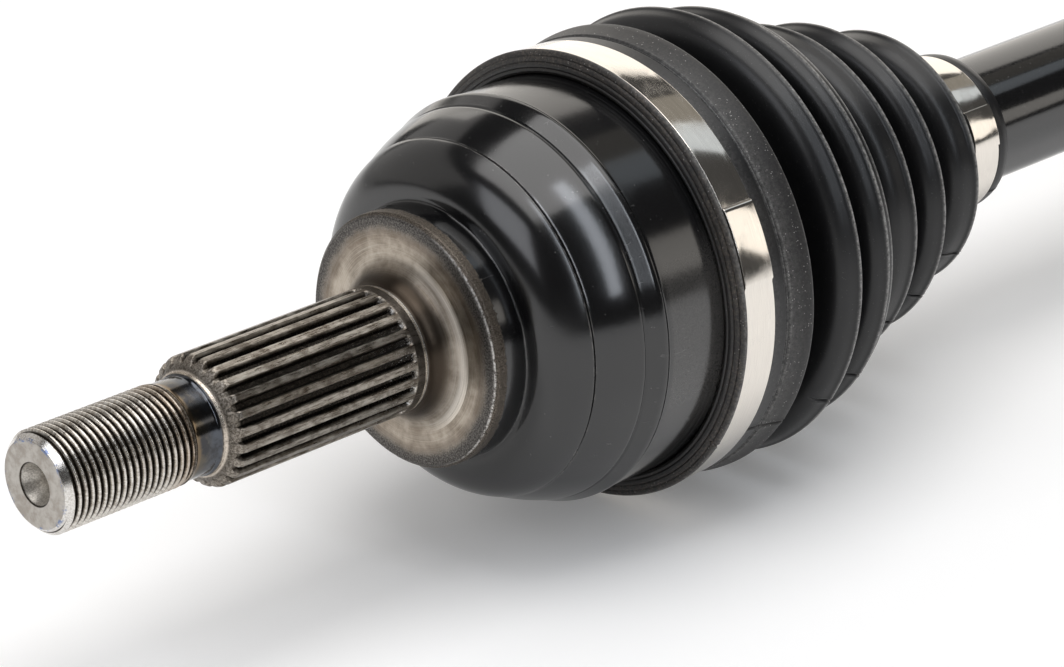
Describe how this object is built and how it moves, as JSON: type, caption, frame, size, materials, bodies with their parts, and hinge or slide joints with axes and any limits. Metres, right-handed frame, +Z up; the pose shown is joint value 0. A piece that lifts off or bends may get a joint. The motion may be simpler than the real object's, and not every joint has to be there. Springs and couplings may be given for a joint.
{
  "type": "drive shaft",
  "caption": "Front-wheel-drive half shaft: splined hub stub and ball joint, ribbed rubber boots with band clamps, bar, and plunging tripod joint with gearbox stub.",
  "frame": {"origin": "on the shaft axis, in the plane of the shoulder that seats against the wheel bearing", "axes": "+X along the shaft from the hub end to the gearbox end. +Z up, through the first ball and the first tripod arm. +Y completes the right-handed set, and the picture is taken from the -Y side"},
  "size_m": [0.5858, 0.094, 0.094],
  "materials": {
    "bell_paint": "semi-gloss black paint on the bell, bare turned and oiled steel on the stubs",
    "bar_paint": "gloss black",
    "hardened_steel": "ground, hardened and greased",
    "bearing_steel": "polished",
    "spring_steel": "dark oxide",
    "clamp_steel": "bright rolled stainless strip",
    "boot_rubber": "matt black, dusty on the rims"
  },
  "bodies": {
    "outer_joint": {"outer_joint_housing": "bell_paint", "outer_boot": "boot_rubber", "outer_boot_large_clamp": "clamp_steel"},
    "outer_cage": {"outer_cage": "hardened_steel", "outer_ball_1": "bearing_steel", "outer_ball_2": "bearing_steel", "outer_ball_3": "bearing_steel", "outer_ball_4": "bearing_steel", "outer_ball_5": "bearing_steel", "outer_ball_6": "bearing_steel"},
    "shaft": {"shaft_bar": "bar_paint", "outer_inner_race": "hardened_steel", "race_snap_ring": "spring_steel", "race_stop_ring": "spring_steel", "outer_boot_small_clamp": "clamp_steel", "inner_boot_small_clamp": "clamp_steel", "tripod_spider": "hardened_steel", "spider_stop_ring": "spring_steel", "spider_snap_ring": "spring_steel", "needle_rollers_1": "bearing_steel", "needle_rollers_2": "bearing_steel", "needle_rollers_3": "bearing_steel", "roller_washers": "spring_steel", "roller_retaining_rings": "spring_steel"},
    "roller_1": {"tripod_roller_1": "bearing_steel"},
    "roller_2": {"tripod_roller_2": "bearing_steel"},
    "roller_3": {"tripod_roller_3": "bearing_steel"},
    "inner_joint": {"inner_joint_housing": "bell_paint", "inner_boot": "boot_rubber", "inner_boot_large_clamp": "clamp_steel", "gearbox_circlip": "spring_steel"}
  },
  "joints": [
    {"name": "outer_bend", "type": "hinge", "parent": "outer_joint", "child": "shaft", "pos_m": [0.038, 0, 0], "axis": [0, 0, 1], "range_deg": [-42, 42], "deforming": ["outer_boot"]},
    {"name": "cage_follow", "type": "hinge", "parent": "outer_joint", "child": "outer_cage", "pos_m": [0.038, 0, 0], "axis": [0, 0, 1], "range_deg": [-21, 21]},
    {"name": "inner_bend", "type": "hinge", "parent": "shaft", "child": "roller_1", "pos_m": [0.378, 0, 0], "axis": [0, 0, 1], "range_deg": [-18, 18], "deforming": ["inner_boot"]},
    {"name": "inner_plunge", "type": "slide", "parent": "roller_1", "child": "inner_joint", "axis": [1, 0, 0], "range_m": [-0.015, 0.015], "deforming": ["inner_boot"]},
    {"name": "roller_2_spin", "type": "hinge", "parent": "shaft", "child": "roller_2", "pos_m": [0.378, -0.02079, -0.012], "axis": [0, -0.866, -0.5], "continuous": true},
    {"name": "roller_3_spin", "type": "hinge", "parent": "shaft", "child": "roller_3", "pos_m": [0.378, 0.02079, -0.012], "axis": [0, 0.866, -0.5], "continuous": true}
  ],
  "couplings": [
    {"joint": "cage_follow", "follows": "outer_bend", "ratio": 0.5}
  ]
}
